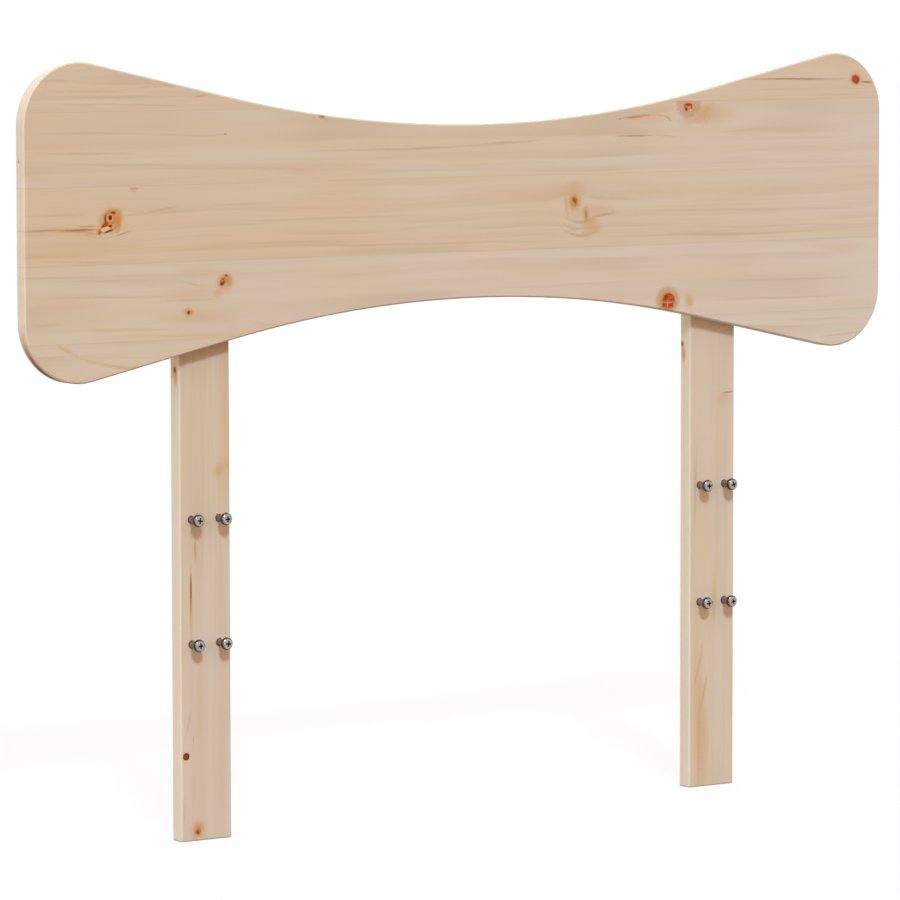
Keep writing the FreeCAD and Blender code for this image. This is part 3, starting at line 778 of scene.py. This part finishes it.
right_marks = [
    ((300, 27), (300, 11), PALE, 0.9),
    ((100, -20), (120, 11), GOLD, 0.35),
    ((130, 9), (120, 15), PALE, 0.7),
    ((60, -14), (110, 12), TAN, 0.5, 0.9),
    # A painted contact shadow along the foot.
    ((0, 0), (1.8, 90), BROWN, 0.7, 0.7),
    ((423, 14), (12, 16), TAN, 0.4, 0.95),
    ((430.4, 22), (1.2, 11), BROWN, 0.85, 0.7, -2),
    ((437, 24), (1, 7), PALE, 0.7, 0.8),
    ((205, 3.6), (50, 4.6), GOLD, 0.6, 1, 2),
    ((45, -10), (64, 7), TAN, 0.2, 0.6),
    ((50, -17), (76, 2.6), GOLD, 0.8, 0.9, 1),
    ((100, -11), (34, 2.6), GOLD, 0.8, 0.9, 13),
    ((134, -17), (42, 3.4), GOLD, 0.65, 1, 15, -0.5),
    ((50, -5), (56, 1.4), LATE, 0.21),
    ((330, -22), (60, 1.8), LATE, 0.6, 0.85, 1),
    ((474, -30, 12), (14.3, 33, 5.5), AMBER, 0.88, 0.9),
    ((484.5, -30, 14.4), (4.4, 33, 3.2), RUST, 0.94, 0.6),
]
left_bends = [((88, -24.5), (18, 9)), ((9, -11), (24, 13))]
legs = {
    "left_leg": (67, (-352, 64), 12, (0.74, -0.5), left_bends, left_marks),
    "right_leg": (79, (310, 52), 10, (0.6, 0.1), (), right_marks),
}
for leg, (seed, pith, ring, tone, bends, marks) in legs.items():
    bends, marks = on_leg(leg, bends), on_leg(leg, marks)
    made = pine(f"pine_{leg}", pith, ring, seed, tone, True, bends, marks)
    finish(leg, made)
    print(leg, len(made.node_tree.nodes), "nodes")

# %% [markdown]
# ## Zinc-plated steel
#
# Bolts, nuts and screws are plated steel. Plating is bright but not a mirror: its roughness
# drifts, and small dull spots are scattered over it. One function makes the three finishes from a
# tint and a roughness. On a bolt's head it paints shade into the recess and a dark reflection round
# the rim, so the dome is brightest. The shank is duller, and browner with a painted reflection of
# the wood. Marks like these follow the turned shape, so they read two numbers that the bolt's own
# mesh carries: how far out from the axis a point is, and how high up the head.

# %% Build the steel finishes
# The shank's tint is a painted brown reflection of the wood, the rim's a painted dark reflection,
# and the recess's painted shade.
SPOT_TINT, SHANK_WOOD_REFLECTION = colour(74, 60, 48), colour(150, 124, 106)
RIM_PAINTED_REFLECTION, RECESS_PAINTED_SHADE = colour(38, 32, 28), colour(22, 20, 22)
DRIFTS_IN_METRE, DRIFT_RAMP, DRIFT_SHADE, DRIFT_SHARE = 420, (0.3, 0.7), 0.78, 0.35
SPOTS_IN_METRE, SPOT_RAMP, SPOT_SHARE = 900, (0.6, 0.72), 0.5
DRIFT_ROUGHNESS, SPOT_ROUGHNESS, SHANK_ROUGHNESS = 0.14, 0.2, 0.3
PLATED_BUMP, PLATED_BUMP_HEIGHT = 0.08, 0.2 * MM
# Out from a bolt's axis and up from its head's underside, in millimetres.
SHANK_UP, SHANK_SHARE = (-0.6, 0.0), 0.85
RIM_OUT, RIM_UP, RIM_SHARE = (4.1, 6.2), (0.0, 0.4), 0.93
RECESS_OUT, RECESS_FLOOR, RECESS_TOP, RECESS_SHARE = (3.1, 3.35), (0.5, 1.0), (4.4, 4.8), 0.95


def paint_bolt_shade_and_reflections(tree, base):
    """Paint shade into a bolt's recess and reflections onto its rim and shank. Its mesh says how
    far out and how high up they are.
    """
    turned = tree.node("ShaderNodeAttribute", {"attribute_name": "turned"}, None, "Vector")
    out, up, _ = tree.split(turned)
    shank = 1 - up.between(*SHANK_UP)
    # The shank gets a painted brown reflection of the wood.
    base = tree.mix(shank * SHANK_SHARE, base, SHANK_WOOD_REFLECTION)
    # The rim gets a painted dark reflection.
    rim = out.between(*RIM_OUT) * up.between(*RIM_UP)
    base = tree.mix(rim * RIM_SHARE, base, RIM_PAINTED_REFLECTION)
    # The recess gets painted shade.
    inside = (1 - out.between(*RECESS_OUT)) * up.between(*RECESS_FLOOR)
    recess = inside * (1 - up.between(*RECESS_TOP))
    return tree.mix(recess * RECESS_SHARE, base, RECESS_PAINTED_SHADE), shank


def plated(name, tint, roughness, seed, head=False):
    """A plated steel finish with drifting gloss and dull spots."""
    material, tree, shader = new_material(name)
    place = tree.node("ShaderNodeTexCoord", None, None, "Object")
    drift = tree.noise(place, DRIFTS_IN_METRE, detail=3, roughness=COARSE, seed=seed)
    spots = tree.noise(place, SPOTS_IN_METRE, seed=seed + 3).between(*SPOT_RAMP)
    shaded = (*(channel * DRIFT_SHADE for channel in tint[:3]), 1.0)
    base = tree.mix(drift.between(*DRIFT_RAMP) * DRIFT_SHARE, tint, shaded)
    base = tree.mix(spots * SPOT_SHARE, base, SPOT_TINT)
    # A bolt also gets painted shade in its recess and painted reflections on its rim and shank.
    if head:
        base, shank = paint_bolt_shade_and_reflections(tree, base)
        roughness = shank * SHANK_ROUGHNESS + roughness
    feed(tree, base, shader, "Base Color")
    roughness = roughness + drift * DRIFT_ROUGHNESS + spots * SPOT_ROUGHNESS
    feed(tree, roughness, shader, "Roughness")
    values = {"Strength": PLATED_BUMP, "Distance": PLATED_BUMP_HEIGHT, "Height": drift}
    feed(tree, tree.node("ShaderNodeBump", None, values), shader, "Normal")
    shader.inputs["Metallic"].default_value = 1.0
    return material


bolt_finish = plated("bolt_zinc", colour(184, 174, 164), roughness=0.16, seed=3, head=True)
nut_finish = plated("nut_zinc", colour(184, 184, 178), roughness=0.3, seed=13)
screw_finish = plated("screw_zinc", colour(208, 168, 104), roughness=0.28, seed=23)
print("steel finishes ready")

# %% [markdown]
# ## Fasteners
#
# Every bolt, nut and screw starts as a turned blank: an outline spun about its axis, as on a
# lathe. A Geometry Nodes tree then does what bolts and wood screws have in common. It cuts the
# cross recess out of the head, winds a ridge round the shank for the thread, and sets copies down
# in a row. The tree's inputs hold the sizes, so one tree serves both. The nuts have their own.

# %% Turn the blanks
def lathe(name, outline, steps=64):
    """A closed solid of revolution about Z. Its outline ends on the axis or closes on itself."""
    points, faces, rings = [], [], []
    for radius, height in outline:
        if radius == 0:
            rings.append([len(points)])
            points.append((0, 0, height * MM))
        else:
            rings.append([len(points) + step for step in range(steps)])
            for step in range(steps):
                turn = 2 * math.pi * step / steps
                x, y = radius * math.cos(turn), radius * math.sin(turn)
                points.append((x * MM, y * MM, height * MM))
    for low, high in zip(rings, rings[1:] + (rings[:1] if len(rings[0]) > 1 else [])):
        for step in range(steps):
            here, there = step, (step + 1) % steps
            near, far = low[here % len(low)], low[there % len(low)]
            corners = (near, far, high[there % len(high)], high[here % len(high)])
            faces.append(tuple(dict.fromkeys(corners)))
    mesh = bpy.data.meshes.new(name)
    mesh.from_pydata(points, [], faces)
    mesh.update()
    blank = bpy.data.objects.new(name, mesh)
    bpy.context.scene.collection.objects.link(blank)
    return blank


def rounded(radius, height, size, start, end, steps):
    """Points on a quarter circle inside a corner, from one angle to another in degrees."""
    turns = [math.radians(start + (end - start) * step / steps) for step in range(steps + 1)]
    return [(radius + size * math.cos(turn), height + size * math.sin(turn)) for turn in turns]


# Each outline is a row of radii and heights in millimetres. A bolt's head stands on height 0.
LENGTH = 30
HEAD_HEIGHT, HEAD_RADIUS, RIM_HEIGHT, RIM_ROUND = 5, 6.5, 1.7, 0.3
SHANK_RADIUS, NECK_RADIUS = 3.5, 3.97
DOME_STEPS = 15
DOME = [math.radians(90 * step / DOME_STEPS) for step in range(DOME_STEPS)]
BOLT_OUTLINE = [(0, -LENGTH), (3.1, -LENGTH), (SHANK_RADIUS, -29.3), (SHANK_RADIUS, -4.6)]
BOLT_OUTLINE += [(NECK_RADIUS, -4), (NECK_RADIUS, 0)]
corner = HEAD_RADIUS - RIM_ROUND
BOLT_OUTLINE += rounded(corner, RIM_ROUND, RIM_ROUND, start=-90, end=0, steps=3)
for turn in DOME:
    rise = (HEAD_HEIGHT - RIM_HEIGHT) * math.sin(turn)
    BOLT_OUTLINE.append((HEAD_RADIUS * math.cos(turn), RIM_HEIGHT + rise))
BOLT_OUTLINE.append((0, HEAD_HEIGHT))
SCREW_OUTLINE = [(0, 0), (3.9, 0), (3.9, 0.25), (2.3, 2.1), (1.45, 3.2)]
SCREW_OUTLINE += [(1.4, 26.5), (0.12, 29.9), (0, LENGTH)]
print(len(BOLT_OUTLINE), "points outline a bolt and", len(SCREW_OUTLINE), "a screw")

# %% Build the tree that finishes a bolt or a screw
NUMBER, VECTOR, COUNT = "NodeSocketFloat", "NodeSocketVector", "NodeSocketInt"
MATERIAL, GEOMETRY = "NodeSocketMaterial", "NodeSocketGeometry"
THREAD_SIZES = ["Thread radius", "Thread ridge", "Thread pitch", "Thread length", "Thread start"]
RECESS_SIZES = ["Recess span", "Recess slot", "Recess depth", "Head height", "Recess turn"]
FASTENER_INPUTS = dict.fromkeys(THREAD_SIZES + RECESS_SIZES, NUMBER)
FASTENER_INPUTS |= {"Place": VECTOR, "Step": VECTOR, "Count": COUNT, "Finish": MATERIAL}


def new_tree(name, inputs):
    """A Geometry Nodes tree with its inputs, and those inputs as sockets."""
    group = bpy.data.node_groups.new(name, "GeometryNodeTree")
    group.interface.new_socket("Geometry", in_out="INPUT", socket_type=GEOMETRY)
    for label, kind in inputs.items():
        group.interface.new_socket(label, in_out="INPUT", socket_type=kind)
    group.interface.new_socket("Geometry", in_out="OUTPUT", socket_type=GEOMETRY)
    tree = Tree(group)
    entry = group.nodes.new("NodeGroupInput")
    sockets = {out.name: Sock(tree, out) for out in entry.outputs if out.name}
    return tree, sockets


def end_tree(tree, shape, points, finish_socket):
    """Set copies of a shape down on points, facing forward, and hand them out with their finish."""
    forward = tree.node("FunctionNodeEulerToRotation", None, {0: FORWARD})
    copies = {"Points": points, "Instance": shape, "Rotation": forward}
    copies = tree.node("GeometryNodeInstanceOnPoints", None, copies)
    real = tree.node("GeometryNodeRealizeInstances", None, {"Geometry": copies})
    values = {"Geometry": real, "Material": finish_socket}
    painted = tree.node("GeometryNodeSetMaterial", None, values)
    exit_node = tree.tree.nodes.new("NodeGroupOutput")
    tree.tree.links.new(painted.socket, exit_node.inputs[0])


def crease(tree, shape, degrees):
    """Smooth shading, kept sharp at edges steeper than an angle in degrees."""
    values = {"Geometry": shape, "Shade Smooth": True}
    smooth = tree.node("GeometryNodeSetShadeSmooth", {"domain": "FACE"}, values)
    steep = tree.node("GeometryNodeInputMeshEdgeAngle")
    settings = {"data_type": "FLOAT", "operation": "GREATER_THAN"}
    sharp = tree.node("FunctionNodeCompare", settings, {0: steep, 1: math.radians(degrees)})
    values = {"Geometry": smooth, "Selection": sharp, "Shade Smooth": False}
    return tree.node("GeometryNodeSetShadeSmooth", {"domain": "EDGE"}, values)


# The recess is a cross with a cone in its middle, and the thread a helix with a three-sided ridge.
WELL_WIDTH_SHARE, WELL_DEPTH_SHARE, WELL_TIP, WELL_SIDES = 0.95, 1.25, 0.2 * MM, 12
POINTS_IN_A_TURN, RIDGE_SIDES, SHARP_FROM = 40, 3, 30
FORWARD = (math.pi / 2, 0, 0)
tree, given = new_tree("finish_fastener", FASTENER_INPUTS)
arms = []
for wide, narrow in (("Recess span", "Recess slot"), ("Recess slot", "Recess span")):
    size = tree.vector(given[wide], given[narrow], given["Recess depth"] * 2)
    arms.append(tree.node("GeometryNodeMeshCube", None, {"Size": size}))
well = {"Radius Top": given["Recess slot"] * WELL_WIDTH_SHARE}
well |= {"Depth": given["Recess depth"] * WELL_DEPTH_SHARE}
well |= {"Vertices": WELL_SIDES, "Radius Bottom": WELL_TIP}
well = tree.node("GeometryNodeMeshCone", None, well)
sunk = tree.vector(0, 0, given["Recess depth"] * -WELL_DEPTH_SHARE)
well = tree.node("GeometryNodeTransform", None, {"Geometry": well, "Translation": sunk})
cutters = []
for cutter in (*arms, well):
    seat = tree.vector(0, 0, given["Head height"])
    spin = tree.vector(0, 0, given["Recess turn"])
    values = {"Geometry": cutter, "Translation": seat, "Rotation": spin}
    cutters.append(tree.node("GeometryNodeTransform", None, values))
cut = given["Geometry"]
for cutter in cutters:
    settings = {"operation": "DIFFERENCE", "solver": "EXACT"}
    cut = tree.node("GeometryNodeMeshBoolean", settings, {0: cut, 1: cutter})
helix = {"Start Radius": given["Thread radius"], "End Radius": given["Thread radius"]}
helix |= {"Height": given["Thread length"], "Resolution": POINTS_IN_A_TURN}
helix["Rotations"] = given["Thread length"] / given["Thread pitch"]
helix = tree.node("GeometryNodeCurveSpiral", None, helix)
helix = tree.node("GeometryNodeSetCurveNormal", {"mode": "Z_UP"}, {"Curve": helix})
ridge = {"Resolution": RIDGE_SIDES, "Radius": given["Thread ridge"]}
ridge = tree.node("GeometryNodeCurvePrimitiveCircle", None, ridge)
thread = {"Curve": helix, "Profile Curve": ridge, "Fill Caps": True}
thread = tree.node("GeometryNodeCurveToMesh", None, thread)
start = tree.vector(0, 0, given["Thread start"])
thread = tree.node("GeometryNodeTransform", None, {"Geometry": thread, "Translation": start})
whole = tree.node("GeometryNodeJoinGeometry")
for part in (thread, cut):
    tree.tree.links.new(part.socket, whole.socket.node.inputs[0])
whole = crease(tree, whole, SHARP_FROM)
values = {"Count": given["Count"], "Start Location": given["Place"], "Offset": given["Step"]}
row = tree.node("GeometryNodeMeshLine", {"mode": "OFFSET"}, values)
end_tree(tree, whole, row, given["Finish"])
finish_fastener = tree.tree
print(len(finish_fastener.nodes), "nodes finish a fastener")


# %% Run a tree on a blank
def grow(blank, group, values):
    """Run a tree on a blank and keep the plain mesh that comes out."""
    modifier = blank.modifiers.new("make", "NODES")
    modifier.node_group = group
    for item in group.interface.items_tree:
        if item.in_out == "INPUT" and item.name in values:
            modifier[item.identifier] = values[item.name]
    graph = bpy.context.evaluated_depsgraph_get()
    mesh = bpy.data.meshes.new_from_object(blank.evaluated_get(graph), depsgraph=graph)
    blank.modifiers.remove(modifier)
    blank.data = mesh
    return blank


def keep_turning(mesh, middle):
    """Note on a bolt's mesh how far out from its axis and how high up its head each point is."""
    note = mesh.attributes.new("turned", "FLOAT_VECTOR", "POINT")
    for point, kept in zip(mesh.vertices, note.data):
        aside, _, above = point.co - middle
        kept.vector = (math.hypot(aside, above) / MM, (middle.y - point.co.y) / MM, 0.0)


def stand_for(piece, node, body):
    """Let a piece stand for one of the model's solids."""
    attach(piece, body)
    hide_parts(node)


# How far each bolt's recess happens to be turned, in degrees.
RECESS_TURNS = {
    "left_bolt_lower_outer": 4,
    "left_bolt_lower_inner": -6,
    "left_bolt_upper_outer": -9,
    "left_bolt_upper_inner": 3,
    "right_bolt_lower_outer": 12,
    "right_bolt_lower_inner": 7,
    "right_bolt_upper_outer": 16,
    "right_bolt_upper_inner": -4,
}
for node, turn in RECESS_TURNS.items():
    low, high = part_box(node)
    middle = Vector(((low.x + high.x) / 2, low.y + HEAD_HEIGHT * MM, (low.z + high.z) / 2))
    blank = lathe(node.replace("bolt", "machine_bolt"), BOLT_OUTLINE)
    sizes = {
        "Thread radius": 3.335 * MM,
        "Thread ridge": 0.62 * MM,
        "Thread pitch": 1.25 * MM,
        "Thread length": 24 * MM,
        "Thread start": -29.2 * MM,
        "Recess span": 5.8 * MM,
        "Recess slot": 1.7 * MM,
        "Recess depth": 2.4 * MM,
        "Head height": HEAD_HEIGHT * MM,
        "Recess turn": math.radians(turn),
        "Place": middle,
        "Step": (0.0, 0.0, 0.0),
        "Count": 1,
        "Finish": bolt_finish,
    }
    bolt = grow(blank, finish_fastener, sizes)
    keep_turning(bolt.data, middle)
    stand_for(bolt, node, node)
    print(bolt.name, len(bolt.data.polygons), "faces")

# %% [markdown]
# ## Wood screws
#
# Two countersunk screws hold the panel to each leg. They use the same tree, with a coarser
# thread, and both of a leg's screws come out of one run as a row of two.

# %% Make the wood screws
SCREW_REACH = 4 * MM
for side in ("left", "right"):
    low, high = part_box(f"{side}_wood_screws")
    inner, outer = sorted((low.x + SCREW_REACH, high.x - SCREW_REACH), key=abs)
    sizes = {
        "Thread radius": 1.5 * MM,
        "Thread ridge": 0.5 * MM,
        "Thread pitch": 1.8 * MM,
        "Thread length": 18 * MM,
        "Thread start": 9 * MM,
        "Recess span": 4.2 * MM,
        "Recess slot": 1 * MM,
        "Recess depth": 1.4 * MM,
        "Head height": 0.0,
        "Recess turn": math.radians(20),
        "Place": (outer, high.y, low.z + SCREW_REACH),
        "Step": (inner - outer, 0.0, high.z - low.z - 2 * SCREW_REACH),
        "Count": 2,
        "Finish": screw_finish,
    }
    screws = grow(lathe(f"{side}_countersunk_screws", SCREW_OUTLINE), finish_fastener, sizes)
    stand_for(screws, f"{side}_wood_screws", "headboard")
    print(screws.name, len(screws.data.polygons), "faces")

# %% [markdown]
# ## Nuts
#
# A hexagonal nut is a turned ring whose flats are milled off. The tree does just that: it keeps
# what a ring with bevelled ends and a six-sided bar have in common, which gives each flat its
# curved corners, and sets four of them on the corners of an upright grid.

# %% Make the nuts
NUT_WIDTH, NUT_HEIGHT, NUT_SHARP_FROM = 13, 6.5, 25
COLUMN_SPACING, ROW_SPACING = 33, 128
NUT_RING = [(4.05, 0.4), (4.5, 0), (6.3, 0), (7.5, 0.7)]
NUT_RING += [(7.5, 5.8), (6.3, NUT_HEIGHT), (4.5, NUT_HEIGHT), (4.05, 6.1)]
NUT_INPUTS = dict.fromkeys(["Width", "Thickness", "Column spacing", "Row spacing"], NUMBER)
NUT_INPUTS |= {"Place": VECTOR, "Finish": MATERIAL}
tree, given = new_tree("mill_nuts", NUT_INPUTS)
bar = {"Vertices": 6, "Radius": given["Width"] / math.sqrt(3), "Depth": given["Thickness"] * 2}
bar = tree.node("GeometryNodeMeshCylinder", None, bar)
values = {"Geometry": bar, "Rotation": (0, 0, math.pi / 6)}
bar = tree.node("GeometryNodeTransform", None, values)
values = {1: given["Geometry"]}
nut = tree.node("GeometryNodeMeshBoolean", {"operation": "INTERSECT", "solver": "EXACT"}, values)
tree.tree.links.new(bar.socket, nut.socket.node.inputs[1])
nut = crease(tree, nut, NUT_SHARP_FROM)
grid = {"Size X": given["Column spacing"], "Size Y": given["Row spacing"]}
grid |= {"Vertices X": 2, "Vertices Y": 2}
grid = tree.node("GeometryNodeMeshGrid", None, grid)
values = {"Geometry": grid, "Translation": given["Place"], "Rotation": FORWARD}
grid = tree.node("GeometryNodeTransform", None, values)
end_tree(tree, nut, grid, given["Finish"])
mill_nuts = tree.tree
for side in ("left", "right"):
    low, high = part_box(f"{side}_nuts")
    sizes = {
        "Width": NUT_WIDTH * MM,
        "Thickness": NUT_HEIGHT * MM,
        "Column spacing": COLUMN_SPACING * MM,
        "Row spacing": ROW_SPACING * MM,
        "Place": ((low.x + high.x) / 2, high.y, (low.z + high.z) / 2),
        "Finish": nut_finish,
    }
    nuts = grow(lathe(f"{side}_hex_nuts", NUT_RING), mill_nuts, sizes)
    stand_for(nuts, f"{side}_nuts", "headboard")
    print(nuts.name, len(nuts.data.polygons), "faces")

# %% Print both sizes side by side
boxes = {"solids": solid_bounds, "dressed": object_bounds()}
sizes = {name: [list(corner) for corner in box] for name, box in boxes.items()}
print(sizes)
